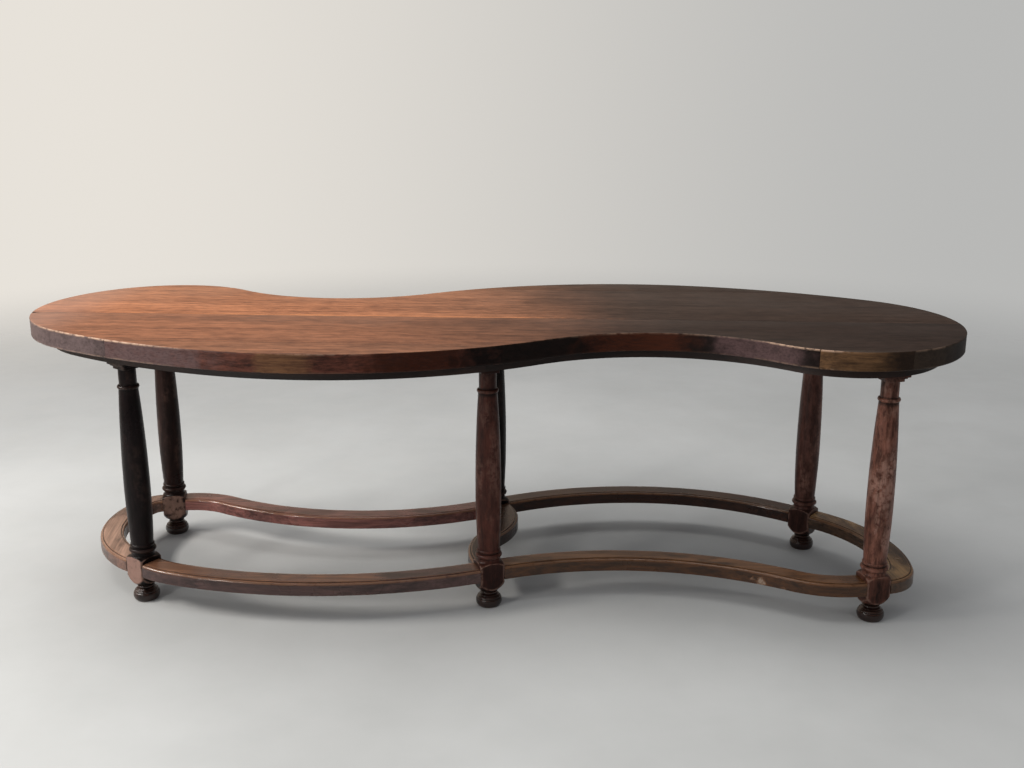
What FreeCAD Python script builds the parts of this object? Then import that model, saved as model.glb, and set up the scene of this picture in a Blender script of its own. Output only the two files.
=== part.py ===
"""Serpentine centre table: an S-shaped boarded top on six turned legs joined by a curved stretcher ring.

Millimetres, +Z up. The origin is on the floor below the middle of the top, X runs along the boards
and the viewer's side of the table is -Y. The plan of the top repeats itself after half a turn.
"""
import FreeCAD, Part
import math
import os

import Sketcher

os.makedirs("parts", exist_ok=True)

V = FreeCAD.Vector
doc = FreeCAD.newDocument("serpentine_table")

# Driving dimensions: millimetres, and degrees for names ending in _turn or _heading
SIZES = {
    # heights, from the top of the table down
    "table_height": 800, "top_thickness": 51, "frieze_height": 31, "cap_plate_height": 16,
    "cap_step_height": 5, "cap_block_height": 9, "neck_height": 46, "astragal_height": 11,
    # heights, from the floor up
    "foot_height": 52, "block_height": 84, "base_flare_height": 13, "base_torus_height": 13,
    "base_fillet_height": 3, "base_ring_height": 9, "shaft_widest_height": 342, "rail_top": 122,
    # plan of the top: half of it as six tangent arcs, the bay hollow and the others round
    "end_radius": 390, "end_turn": 60, "flank_radius": 1530, "flank_turn": 19.5,
    "crest_radius": 1055, "crest_turn": 50, "bay_radius": 475, "bay_turn": 77.5,
    "lobe_radius": 310, "lobe_turn": 85, "tip_radius": 380, "plan_heading": 87,
    "top_arris": 2.5, "middle_seam": -50, "lip_depth": 23,
    # frame under the top
    "frieze_setback": 50, "frieze_width": 48, "frieze_fillet_height": 12, "frieze_fillet_step": 6,
    "bearer_width": 96, "joint_clearance": 0.2,
    # where the legs stand, as shares of half the top, and how far each block is turned to its stretchers
    "leg_frame_shift": 17, "front_left_station_share": 0.7409, "back_right_station_share": 0.7363,
    "front_right_station_share": 0.8132, "back_left_station_share": 0.8034,
    "middle_station_share": 0.0075, "corner_row_share": 0.481,
    "middle_front_row_share": 0.4392, "middle_back_row_share": 0.5305,
    "front_left_turn": -32, "front_middle_turn": 24.5,
    "front_right_turn": 16, "back_right_turn": 144.5, "back_middle_turn": 210.5, "back_left_turn": 193,
    # legs
    "block_side": 72, "top_shoulder_drop": 20, "top_shoulder_radius": 35, "top_shoulder_round": 24,
    "foot_shoulder_rise": 42, "foot_shoulder_radius": 31, "foot_shoulder_round": 70,
    "shoulder_reach": 54, "lathe_overlap": 1,
    "flare_top_radius": 32, "base_torus_round": 6, "base_fillet_radius": 31, "base_ring_round": 3,
    "shaft_base_radius": 31, "shaft_widest_radius": 36, "shaft_top_radius": 26.3,
    "astragal_round": 5, "neck_radius": 24.2, "leg_tenon_radius": 15, "leg_tenon_rise": 20,
    # caps
    "cap_plate_side": 76, "cap_step_side": 64, "cap_block_side": 53,
    # feet
    "foot_base_radius": 31, "foot_ball_radius": 37, "foot_widest_height": 15, "foot_ball_height": 38,
    "foot_ring_radius": 21, "foot_ring_height": 7, "foot_ring_round": 4, "foot_neck_radius": 19,
    "foot_top_radius": 24, "spigot_radius": 11, "spigot_rise": 24,
    # stretchers
    "rail_height": 38, "rail_width": 70, "rail_bevel": 7, "rail_tenon_length": 24,
    "rail_tenon_width": 18, "rail_tenon_height": 24,
    # how the two arcs of a stretcher share its bend: tangent length at its first block to its second
    "front_left_rail_share": 0.1, "front_right_rail_share": 4.7, "right_end_rail_share": 0.22,
    "back_right_rail_share": 0.8, "back_left_rail_share": 6, "left_end_rail_share": 0.1,
    "cross_rail_share": 1,
    # screws that hold the top down, and how far out from the middle of a bearer they sit
    "screw_radius": 3, "screw_head_radius": 6, "screw_head_height": 5, "screw_bite": 28,
    "screw_inner_share": 0.34, "screw_outer_share": 0.57,
}

sheet = doc.addObject("Spreadsheet::Sheet", "Sizes")
for row, (alias, number) in enumerate(SIZES.items(), start=1):
    sheet.set(f"A{row}", alias)
    sheet.set(f"B{row}", str(number))
    sheet.setAlias(f"B{row}", alias)
doc.recompute()


def value(expression):
    """The number that an expression of sheet cells comes to."""
    result = sheet.evalExpression(expression)
    return float(getattr(result, "Value", result))


def size(alias):
    return value("Sizes." + alias)


# Heights that several pieces share, as expressions of the driving dimensions
SLAB_BOTTOM = "(Sizes.table_height - Sizes.top_thickness)"
FRIEZE_BOTTOM = f"({SLAB_BOTTOM} - Sizes.frieze_height)"
STEP_TOP = f"({FRIEZE_BOTTOM} - Sizes.cap_plate_height)"
CAP_BLOCK_TOP = f"({STEP_TOP} - Sizes.cap_step_height)"
NECK_TOP = f"({CAP_BLOCK_TOP} - Sizes.cap_block_height)"
NECK_BOTTOM = f"({NECK_TOP} - Sizes.neck_height)"
SHAFT_TOP = f"({NECK_BOTTOM} - Sizes.astragal_height)"
TENON_TOP = f"({FRIEZE_BOTTOM} + Sizes.leg_tenon_rise)"
BLOCK_TOP = "(Sizes.foot_height + Sizes.block_height)"
FLARE_TOP = f"({BLOCK_TOP} + Sizes.base_flare_height)"
TORUS_TOP = f"({FLARE_TOP} + Sizes.base_torus_height)"
RING_BOTTOM = f"({TORUS_TOP} + Sizes.base_fillet_height)"
RING_TOP = f"({RING_BOTTOM} + Sizes.base_ring_height)"
SHAFT_BOTTOM = f"({RING_TOP} + Sizes.base_fillet_height)"
RAIL_MIDDLE = "(Sizes.rail_top - Sizes.rail_height / 2)"


def half_round(height, rise, taper="0"):
    """Radius of a moulding of the given height that stands out by rise, its upper end drawn in by taper."""
    return f"((({height})^2 + ({taper})^2) / 4 + ({rise})^2) / (2 * {rise})"


def swell(height, growth):
    """Radius of an arc that starts upright and moves sideways by growth over height."""
    return f"(({height})^2 + ({growth})^2) / (2 * ({growth}))"


def origin_plane(body, role):
    return next(feature for feature in body.Origin.OriginFeatures if feature.Role == role)


def new_sketch(body, name, role, lift=None):
    """An empty sketch on one of the body's own planes, moved along the plane's normal by lift."""
    sketch = body.newObject("Sketcher::SketchObject", name)
    sketch.AttachmentSupport = [(origin_plane(body, role), "")]
    sketch.MapMode = "FlatFace"
    if lift:
        sketch.setExpression("AttachmentOffset.Base.z", lift)
    return sketch


def bound(sketch, constraint, expression):
    index = sketch.addConstraint(constraint)
    sketch.setExpression(f"Constraints[{index}]", expression)


def nearest_end(sketch, edge, point):
    """1 where the edge starts at the point, 2 where it ends there."""
    return min((1, 2), key=lambda end: sketch.getPoint(edge, end).distanceToPoint(point))


def closed_profile(sketch, corners, arcs=None):
    """Draw a closed outline whose corners, and the radii of whose arcs, are bound to the sheet.

    corners holds (across, up) expressions. arcs maps a corner's number to (radius, side) for the edge
    that leaves it: the arc bulges to the right of its direction where side is 1, to the left at -1.
    """
    arcs = arcs or {}
    points = [V(value(across), value(up), 0) for across, up in corners]
    edges = []
    for number, start in enumerate(points):
        end = points[(number + 1) % len(points)]
        if number in arcs:
            radius_expression, side = arcs[number]
            radius = value(radius_expression)
            chord = end - start
            sagitta = radius - math.sqrt(max(radius ** 2 - chord.Length ** 2 / 4, 0))
            middle = start + chord * 0.5 + V(chord.y, -chord.x, 0).normalize() * sagitta * side
            edge = sketch.addGeometry(Part.Arc(start, middle, end), False)
        else:
            edge = sketch.addGeometry(Part.LineSegment(start, end), False)
        edges.append(edge)
    for number, start in enumerate(points):
        edge = edges[number]
        before = edges[number - 1]
        end_here = nearest_end(sketch, edge, start)
        end_before = nearest_end(sketch, before, start)
        sketch.addConstraint(Sketcher.Constraint("Coincident", before, end_before, edge, end_here))
        across, up = corners[number]
        if abs(start.x) < 1e-9:
            sketch.addConstraint(Sketcher.Constraint("PointOnObject", edge, end_here, -2))
        else:
            bound(sketch, Sketcher.Constraint("DistanceX", -1, 1, edge, end_here, start.x), across)
        if abs(start.y) < 1e-9:
            sketch.addConstraint(Sketcher.Constraint("PointOnObject", edge, end_here, -1))
        else:
            bound(sketch, Sketcher.Constraint("DistanceY", -1, 1, edge, end_here, start.y), up)
    for number, (radius_expression, side) in arcs.items():
        radius = value(radius_expression)
        bound(sketch, Sketcher.Constraint("Radius", edges[number], radius), radius_expression)


def rectangle(sketch, width, height, up="0"):
    """A rectangle centred across the sketch and at the given height."""
    left, right = f"-({width}) / 2", f"({width}) / 2"
    low, high = f"{up} - ({height}) / 2", f"{up} + ({height}) / 2"
    closed_profile(sketch, [(left, low), (right, low), (right, high), (left, high)])


def circle(sketch, radius):
    edge = sketch.addGeometry(Part.Circle(V(0, 0, 0), V(0, 0, 1), value(radius)), False)
    sketch.addConstraint(Sketcher.Constraint("Coincident", edge, 3, -1, 1))
    bound(sketch, Sketcher.Constraint("Radius", edge, value(radius)), radius)


def turned(body, kind, name, sketch):
    """Revolve a sketch of the body round its upright axis: kind is Revolution or Groove."""
    feature = body.newObject("PartDesign::" + kind, name)
    feature.Profile = sketch
    feature.ReferenceAxis = (sketch, ["V_Axis"])
    feature.Angle = 360
    sketch.Visibility = False
    return feature


def extruded(body, kind, name, sketch, length, reverse=False):
    """Pad or Pocket a sketch of the body."""
    feature = body.newObject("PartDesign::" + kind, name)
    feature.Profile = sketch
    feature.setExpression("Length", length)
    feature.Reversed = reverse
    return feature


def plan_walk():
    """The arcs of the top's plan in order: centre, signed radius, first and last heading.

    Half of the plan turns through 180 degrees and the other half is the same arcs again, so the plan
    closes by itself round the origin, and the last turn is what the others leave.
    """
    half = [(size("end_radius"), size("end_turn")), (size("flank_radius"), size("flank_turn")),
            (size("crest_radius"), size("crest_turn")), (-size("bay_radius"), -size("bay_turn")),
            (size("lobe_radius"), size("lobe_turn"))]
    half.append((size("tip_radius"), 180 - sum(turn for radius, turn in half)))
    arcs = []
    point = V(0, 0, 0)
    heading = math.radians(size("plan_heading"))
    for radius, turn in half + half:
        centre = point + V(-math.sin(heading), math.cos(heading), 0) * radius
        last = heading + math.radians(turn)
        arcs.append((centre, radius, heading, last))
        point = centre + V(math.sin(last), -math.cos(last), 0) * radius
        heading = last
    middle = (arcs[0][0] + arcs[len(half)][0]) * 0.5
    return [(centre - middle, radius, first, last) for centre, radius, first, last in arcs]


def plan_face(inset):
    """The plan of the top, drawn in by inset all round."""
    edges = []
    for centre, radius, first, last in plan_walk():
        reach = radius - inset
        bearings = (first, (first + last) / 2, last)
        points = [centre + V(math.sin(bearing), -math.cos(bearing), 0) * reach for bearing in bearings]
        edges.append(Part.Arc(*points).toShape())
    return Part.Face(Part.Wire(edges))


# Where each leg stands from the middle of the leg frame, and the heading of the stretcher ring there
TOP_REACH = plan_face(0).optimalBoundingBox()
LEGS = {}
for leg, side, station, front, row in (
        ("front_left", -1, "front_left_station_share", -1, "corner_row_share"),
        ("front_middle", 1, "middle_station_share", -1, "middle_front_row_share"),
        ("front_right", 1, "front_right_station_share", -1, "corner_row_share"),
        ("back_right", 1, "back_right_station_share", 1, "corner_row_share"),
        ("back_middle", -1, "middle_station_share", 1, "middle_back_row_share"),
        ("back_left", -1, "back_left_station_share", 1, "corner_row_share")):
    along = side * size(station) * TOP_REACH.XMax
    across = front * size(row) * TOP_REACH.YMax
    LEGS[leg] = (along, across, size(leg + "_turn"))
PAIRS = {"left": ("front_left", "back_left"), "middle": ("front_middle", "back_middle"),
         "right": ("front_right", "back_right")}


def leg_point(leg):
    along, across, heading = LEGS[leg]
    return V(along + size("leg_frame_shift"), across, 0)


def stand(body, leg):
    """Put a piece made round the origin's upright axis on a leg's place, turned with its block."""
    heading = LEGS[leg][2]
    body.Placement = FreeCAD.Placement(leg_point(leg), FreeCAD.Rotation(V(0, 0, 1), heading))


def make_leg(leg):
    """One turned column with its square block, cut by the mortises of its stretchers."""
    body = doc.addObject("PartDesign::Body", leg + "_leg")
    block_sketch = new_sketch(body, leg + "_block_plan", "XY_Plane", "Sizes.foot_height")
    rectangle(block_sketch, "Sizes.block_side", "Sizes.block_side")
    extruded(body, "Pad", leg + "_block", block_sketch, "Sizes.block_height")

    # the lathe rounds the corners of the block towards its two ends
    reach = "Sizes.shoulder_reach"
    top_shoulder = new_sketch(body, leg + "_top_shoulder_profile", "XZ_Plane")
    low = f"{BLOCK_TOP} - Sizes.top_shoulder_drop"
    above = f"{BLOCK_TOP} + Sizes.lathe_overlap"
    closed_profile(top_shoulder, [(reach, low), (reach, above), ("Sizes.top_shoulder_radius", above),
                                  ("Sizes.top_shoulder_radius", BLOCK_TOP)],
                   {3: ("Sizes.top_shoulder_round", -1)})
    turned(body, "Groove", leg + "_top_shoulder", top_shoulder)
    foot_shoulder = new_sketch(body, leg + "_foot_shoulder_profile", "XZ_Plane")
    high = "Sizes.foot_height + Sizes.foot_shoulder_rise"
    below = "Sizes.foot_height - Sizes.lathe_overlap"
    closed_profile(foot_shoulder, [("Sizes.foot_shoulder_radius", "Sizes.foot_height"),
                                   ("Sizes.foot_shoulder_radius", below), (reach, below), (reach, high)],
                   {3: ("Sizes.foot_shoulder_round", -1)})
    turned(body, "Groove", leg + "_foot_shoulder", foot_shoulder)

    # base mouldings, swelling shaft, astragal, neck and the round tenon that the cap slips over
    column = new_sketch(body, leg + "_column_profile", "XZ_Plane")
    closed_profile(column, [
        ("0", "Sizes.foot_height + Sizes.block_height / 2"),
        ("Sizes.flare_top_radius", "Sizes.foot_height + Sizes.block_height / 2"),
        ("Sizes.flare_top_radius", f"{BLOCK_TOP} - Sizes.lathe_overlap"),
        ("Sizes.top_shoulder_radius", f"{BLOCK_TOP} - Sizes.lathe_overlap"),
        ("Sizes.top_shoulder_radius", BLOCK_TOP),
        ("Sizes.flare_top_radius", FLARE_TOP),
        ("Sizes.flare_top_radius", TORUS_TOP),
        ("Sizes.base_fillet_radius", TORUS_TOP),
        ("Sizes.base_fillet_radius", RING_BOTTOM),
        ("Sizes.base_fillet_radius", RING_TOP),
        ("Sizes.shaft_base_radius", SHAFT_BOTTOM),
        ("Sizes.shaft_widest_radius", "Sizes.shaft_widest_height"),
        ("Sizes.shaft_top_radius", SHAFT_TOP),
        ("Sizes.neck_radius", NECK_BOTTOM),
        ("Sizes.neck_radius", NECK_TOP),
        ("Sizes.leg_tenon_radius", NECK_TOP),
        ("Sizes.leg_tenon_radius", TENON_TOP),
        ("0", TENON_TOP),
    ], {
        4: ("Sizes.base_flare_height", -1),
        5: (half_round("Sizes.base_torus_height", "Sizes.base_torus_round"), 1),
        8: (half_round("Sizes.base_ring_height", "Sizes.base_ring_round"), 1),
        10: (swell(f"Sizes.shaft_widest_height - {SHAFT_BOTTOM}",
                   "Sizes.shaft_widest_radius - Sizes.shaft_base_radius"), 1),
        11: (swell(f"{SHAFT_TOP} - Sizes.shaft_widest_height",
                   "Sizes.shaft_widest_radius - Sizes.shaft_top_radius"), 1),
        12: (half_round("Sizes.astragal_height", "Sizes.astragal_round",
                        "Sizes.shaft_top_radius - Sizes.neck_radius"), 1),
    })
    turned(body, "Revolution", leg + "_column", column)

    # blind mortises: one for the stretcher on either side, a third for the cross stretcher
    mortise_depth = "Sizes.rail_tenon_length + Sizes.joint_clearance"
    mortise_width = "Sizes.rail_tenon_width + 2 * Sizes.joint_clearance"
    mortise_height = "Sizes.rail_tenon_height + 2 * Sizes.joint_clearance"
    faces = [("ahead", "YZ_Plane", "Sizes.block_side / 2", False),
             ("behind", "YZ_Plane", "-Sizes.block_side / 2", True)]
    if "middle" in leg:
        faces.append(("inner", "XZ_Plane", "-Sizes.block_side / 2", True))
    for side, plane, lift, reverse in faces:
        mortise = new_sketch(body, f"{leg}_{side}_mortise_plan", plane, lift)
        rectangle(mortise, mortise_width, mortise_height, RAIL_MIDDLE)
        extruded(body, "Pocket", f"{leg}_{side}_mortise", mortise, mortise_depth, reverse)

    socket = new_sketch(body, leg + "_foot_socket_plan", "XY_Plane", "Sizes.foot_height")
    circle(socket, "Sizes.spigot_radius + Sizes.joint_clearance")
    socket_depth = "Sizes.spigot_rise + Sizes.joint_clearance"
    extruded(body, "Pocket", leg + "_foot_socket", socket, socket_depth, True)
    stand(body, leg)
    return body


def make_foot(leg):
    """A bun foot: flattened ball, small ring and a spigot that is glued up into the block."""
    body = doc.addObject("PartDesign::Body", leg + "_foot")
    profile = new_sketch(body, leg + "_foot_profile", "XZ_Plane")
    ring_top = "Sizes.foot_ball_height + Sizes.foot_ring_height"
    closed_profile(profile, [
        ("0", "0"),
        ("Sizes.foot_base_radius", "0"),
        ("Sizes.foot_ball_radius", "Sizes.foot_widest_height"),
        ("Sizes.foot_ring_radius", "Sizes.foot_ball_height"),
        ("Sizes.foot_ring_radius", ring_top),
        ("Sizes.foot_neck_radius", ring_top),
        ("Sizes.foot_top_radius", "Sizes.foot_height"),
        ("Sizes.spigot_radius", "Sizes.foot_height"),
        ("Sizes.spigot_radius", "Sizes.foot_height + Sizes.spigot_rise"),
        ("0", "Sizes.foot_height + Sizes.spigot_rise"),
    ], {
        1: (swell("Sizes.foot_widest_height", "Sizes.foot_ball_radius - Sizes.foot_base_radius"), 1),
        2: (swell("Sizes.foot_ball_height - Sizes.foot_widest_height",
                  "Sizes.foot_ball_radius - Sizes.foot_ring_radius"), 1),
        3: (half_round("Sizes.foot_ring_height", "Sizes.foot_ring_round"), 1),
        5: ("Sizes.foot_height - Sizes.foot_ball_height", -1),
    })
    turned(body, "Revolution", leg + "_foot_turning", profile)
    stand(body, leg)
    return body


def make_cap(leg):
    """A square stepped cap between the neck of the leg and the bearer, bored for the leg's tenon."""
    body = doc.addObject("PartDesign::Body", leg + "_cap")
    steps = [("block", NECK_TOP, "Sizes.cap_block_side", "Sizes.cap_block_height"),
             ("step", CAP_BLOCK_TOP, "Sizes.cap_step_side", "Sizes.cap_step_height"),
             ("plate", STEP_TOP, "Sizes.cap_plate_side", "Sizes.cap_plate_height")]
    for step, bottom, side, height in steps:
        plan = new_sketch(body, f"{leg}_cap_{step}_plan", "XY_Plane", bottom)
        rectangle(plan, side, side)
        extruded(body, "Pad", f"{leg}_cap_{step}", plan, height)
    bore = new_sketch(body, leg + "_cap_bore_plan", "XY_Plane", NECK_TOP)
    circle(bore, "Sizes.leg_tenon_radius + Sizes.joint_clearance")
    extruded(body, "Pocket", leg + "_cap_bore", bore,
             "Sizes.cap_block_height + Sizes.cap_step_height + Sizes.cap_plate_height", True)
    stand(body, leg)
    return body


def bay_middle():
    """How far along X the middle of the viewer's bay lies."""
    return max(centre.x for centre, radius, first, last in plan_walk() if radius < 0)


def outer_seam():
    """How far out the outer seams lie: a lip of the named depth is left beyond them at the lobes."""
    reaches = [radius - centre.y for centre, radius, first, last in plan_walk()
               if radius == size("lobe_radius")]
    return max(reaches) - size("lip_depth")


def prism(name, face, bottom, height):
    """A solid of the given plan between two levels, as an object of its own."""
    plan = face.copy()
    plan.translate(V(0, 0, bottom))
    feature = doc.addObject("Part::Feature", name)
    feature.Shape = plan.extrude(V(0, 0, height))
    return feature


def combined(kind, name, base, tool):
    """Part::Cut, Part::Fuse or Part::Common of two objects."""
    feature = doc.addObject("Part::" + kind, name)
    feature.Base = base
    feature.Tool = tool
    return feature


def line_between(pair):
    """Middle and direction of the line from a pair's front leg to its back leg."""
    front, back = (leg_point(leg) for leg in PAIRS[pair])
    return (front + back) * 0.5, (back - front).normalize()


def bearer_plan():
    """The plan that the bearers fill: all that lies inside the frieze."""
    return plan_face(size("frieze_setback") + size("frieze_width") + size("joint_clearance"))


def bearer_reach(pair):
    """How far a bearer runs to the front, below zero, and to the back from the middle of its legs."""
    middle, along = line_between(pair)
    inside = bearer_plan()
    far = inside.BoundBox.DiagonalLength
    held = Part.makeLine(middle - along * far, middle + along * far).common(inside)
    ends = [(vertex.Point - middle).dot(along) for vertex in held.Vertexes]
    return max(end for end in ends if end < 0), min(end for end in ends if end > 0)


def make_screws():
    """The screws that go up through each bearer into the top, and the holes that they sit in."""
    inner, outer = size("screw_inner_share"), size("screw_outer_share")
    head_height = size("screw_head_height")
    shank_length = size("frieze_height") - head_height + size("screw_bite")
    screws = []
    holes = []
    for pair in PAIRS:
        middle, along = line_between(pair)
        front, back = bearer_reach(pair)
        for place in (front * outer, front * inner, back * inner, back * outer):
            spot = middle + along * place + V(0, 0, value(FRIEZE_BOTTOM))
            neck = spot + V(0, 0, head_height)
            for made, slack in ((screws, 0), (holes, size("joint_clearance"))):
                radius = size("screw_radius") + slack
                head = Part.makeCone(size("screw_head_radius") + slack, radius, head_height, spot)
                shank = Part.makeCylinder(radius, shank_length + slack, neck)
                made.append(head.fuse(shank).removeSplitter())
    group = doc.addObject("Part::Feature", "top_screws")
    group.Shape = Part.makeCompound(screws)
    bored = doc.addObject("Part::Feature", "screw_holes")
    bored.Shape = Part.makeCompound(holes)
    return group, bored


def make_boards(screw_holes):
    """The slab of the top with its arrises bevelled off, sawn along its seams into boards."""
    slab = prism("eased_slab", plan_face(0), value(SLAB_BOTTOM), size("top_thickness"))
    rims = [edge for edge in slab.Shape.Edges if edge.BoundBox.ZLength < size("top_thickness") / 2]
    slab.Shape = slab.Shape.makeChamfer(size("top_arris"), rims)
    drilled = combined("Cut", "drilled_slab", slab, screw_holes)
    half_length = slab.Shape.BoundBox.XMax + size("top_thickness")
    half_depth = slab.Shape.BoundBox.YMax + size("top_thickness")
    bay = bay_middle()
    front, back = f"-{half_depth}", f"{half_depth}"
    front_seam, back_seam = f"-{outer_seam()}", f"{outer_seam()}"
    strips = {
        "top_board_front_left": (-half_length, bay, front, front_seam),
        "top_board_front_right": (bay, half_length, front, front_seam),
        "top_board_middle_front": (-half_length, half_length, front_seam, "Sizes.middle_seam"),
        "top_board_middle_back": (-half_length, half_length, "Sizes.middle_seam", back_seam),
        "top_board_back_left": (-half_length, -bay, back_seam, back),
        "top_board_back_right": (-bay, half_length, back_seam, back),
    }
    boards = []
    for name, (left, right, near, far) in strips.items():
        strip = doc.addObject("Part::Box", name + "_strip")
        strip.Length = right - left
        strip.setExpression("Width", f"({far}) - ({near})")
        strip.setExpression("Height", "Sizes.top_thickness * 2")
        strip.Placement.Base = V(left, 0, 0)
        strip.setExpression("Placement.Base.y", near)
        strip.setExpression("Placement.Base.z", f"{SLAB_BOTTOM} - Sizes.top_thickness / 2")
        boards.append(combined("Common", name, drilled, strip))
    return boards


def make_frieze():
    """The moulded rails under the edge of the top, jointed at the ends of the bearers."""
    bottom = value(FRIEZE_BOTTOM)
    height = size("frieze_height")
    fillet_height = size("frieze_fillet_height")
    setback = size("frieze_setback")
    fillet_plan = plan_face(setback + size("frieze_fillet_step"))
    face_part = prism("frieze_face", plan_face(setback), bottom + fillet_height, height - fillet_height)
    fillet_part = prism("frieze_fillet", fillet_plan, bottom, fillet_height)
    hollow = prism("frieze_hollow", plan_face(setback + size("frieze_width")), bottom, height)
    ring = combined("Cut", "frieze_ring", combined("Fuse", "frieze_solid", face_part, fillet_part), hollow)
    far_x = face_part.Shape.BoundBox.XMax * 2
    far_y = face_part.Shape.BoundBox.YMax * 2

    def on_line(pair, y):
        if pair in ("start", "end"):
            return V(-far_x if pair == "start" else far_x, y, 0)
        middle, along = line_between(pair)
        return middle + along * ((y - middle.y) / along.y)

    sectors = {
        "frieze_left_end": ("start", "left", -far_y, far_y),
        "frieze_right_end": ("right", "end", -far_y, far_y),
        "frieze_front_left": ("left", "middle", -far_y, 0),
        "frieze_front_right": ("middle", "right", -far_y, 0),
        "frieze_back_left": ("left", "middle", 0, far_y),
        "frieze_back_right": ("middle", "right", 0, far_y),
    }
    rails = []
    for name, (first, last, near, far) in sectors.items():
        corners = [on_line(first, near), on_line(last, near), on_line(last, far), on_line(first, far)]
        sector = prism(name + "_sector", Part.Face(Part.makePolygon(corners + corners[:1])),
                       bottom - fillet_height, height + 2 * fillet_height)
        rails.append(combined("Common", name, ring, sector))
    return rails


def make_bearers(screw_holes):
    """A flat cross rail over each pair of legs, let in between the frieze rails."""
    inside = prism("bearer_blank_plan", bearer_plan(), value(FRIEZE_BOTTOM), size("frieze_height"))
    half_length = inside.Shape.BoundBox.YMax * 2
    bearers = []
    for pair, legs in PAIRS.items():
        middle, along = line_between(pair)
        turn = math.degrees(math.atan2(along.y, along.x))
        blank = doc.addObject("Part::Box", pair + "_bearer_blank")
        blank.Length = 2 * half_length
        blank.setExpression("Width", "Sizes.bearer_width")
        blank.setExpression("Height", "Sizes.frieze_height")
        across = V(-along.y, along.x, 0)
        corner = middle - along * half_length - across * (size("bearer_width") / 2)
        blank.Placement = FreeCAD.Placement(corner, FreeCAD.Rotation(V(0, 0, 1), turn))
        blank.setExpression("Placement.Base.z", FRIEZE_BOTTOM)
        fitted = combined("Common", pair + "_bearer_fitted", blank, inside)
        for leg in legs:
            socket = doc.addObject("Part::Cylinder", leg + "_tenon_socket")
            socket.setExpression("Radius", "Sizes.leg_tenon_radius + Sizes.joint_clearance")
            socket.setExpression("Height", "Sizes.leg_tenon_rise + Sizes.joint_clearance")
            socket.Placement.Base = leg_point(leg)
            socket.setExpression("Placement.Base.z", FRIEZE_BOTTOM)
            fitted = combined("Cut", leg + "_bearer_socketed", fitted, socket)
        bearers.append(combined("Cut", pair + "_bearer", fitted, screw_holes))
    return bearers


def direction(heading):
    return V(math.cos(math.radians(heading)), math.sin(math.radians(heading)), 0)


def left_of(along):
    return V(-along.y, along.x, 0)


def arc_middle(start, start_along, end, end_along, offset):
    """Halfway point of the arc from start to end that leaves along start_along, moved left by offset."""
    chord = end - start
    radius = chord.dot(chord) / (2 * chord.dot(left_of(start_along)))
    centre = start + left_of(start_along) * radius
    middle_left = left_of((start_along + end_along).normalize())
    return centre - middle_left * (radius - offset)


def two_arc_joint(start, start_along, end, end_along, share):
    """Where the two tangent arcs between two directed points meet, and their direction there.

    The tangent lengths first and last solve |end - start - first * start_along - last * end_along|
    = first + last, with first = share * last.
    """
    gap = end - start
    square = 2 * share * (start_along.dot(end_along) - 1)
    linear = -2 * gap.dot(start_along * share + end_along)
    constant = gap.dot(gap)
    if abs(square) < 1e-9:
        last = -constant / linear
    else:
        last = (-linear - math.sqrt(linear ** 2 - 4 * square * constant)) / (2 * square)
    first = share * last
    near = start + start_along * first
    far = end - end_along * last
    return near + (far - near) * (first / (first + last)), (far - near).normalize()


def tenon(root, outward):
    """A tongue that stands out from the end of a stretcher into the block."""
    width, height = size("rail_tenon_width"), size("rail_tenon_height")
    tongue = Part.makeBox(size("rail_tenon_length"), width, height, V(0, -width / 2, -height / 2))
    turn = math.degrees(math.atan2(outward.y, outward.x))
    spot = root + V(0, 0, value(RAIL_MIDDLE))
    tongue.Placement = FreeCAD.Placement(spot, FreeCAD.Rotation(V(0, 0, 1), turn))
    return tongue


def make_stretcher(name, first_leg, last_leg, quarter=0):
    """A flat curved rail of two arcs that leaves both of its blocks square, bevelled along its top.

    quarter turns its ends away from the ring of the other stretchers, at the blocks that it starts from.
    """
    half_block = size("block_side") / 2
    share = size(name + "_rail_share")
    start_along = direction(LEGS[first_leg][2] + quarter)
    end_along = direction(LEGS[last_leg][2] - quarter)
    start = leg_point(first_leg) + start_along * half_block
    end = leg_point(last_leg) - end_along * half_block
    joint, joint_along = two_arc_joint(start, start_along, end, end_along, share)
    stations = [(start, start_along), (joint, joint_along), (end, end_along)]

    def side(offset):
        edges = []
        for (here, here_along), (there, there_along) in zip(stations, stations[1:]):
            begin = here + left_of(here_along) * offset
            finish = there + left_of(there_along) * offset
            middle = arc_middle(here, here_along, there, there_along, offset)
            edges.append(Part.Arc(begin, middle, finish).toShape())
        return edges

    half_width = size("rail_width") / 2
    right, left = side(-half_width), side(half_width)
    close_end = Part.makeLine(right[-1].lastVertex().Point, left[-1].lastVertex().Point)
    close_start = Part.makeLine(left[0].firstVertex().Point, right[0].firstVertex().Point)
    plan = Part.Face(Part.Wire(Part.__sortEdges__(right + [close_end] + left + [close_start])))
    plan.translate(V(0, 0, size("rail_top") - size("rail_height")))
    rail = plan.extrude(V(0, 0, size("rail_height")))
    arrises = [edge for edge in rail.Edges
               if edge.BoundBox.ZMin > size("rail_top") - 1e-6 and isinstance(edge.Curve, Part.Circle)]
    rail = rail.makeChamfer(size("rail_bevel"), arrises)
    feature = doc.addObject("Part::Feature", name + "_stretcher")
    feature.Shape = rail.fuse([tenon(start, start_along * -1), tenon(end, end_along)]).removeSplitter()
    return feature


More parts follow.
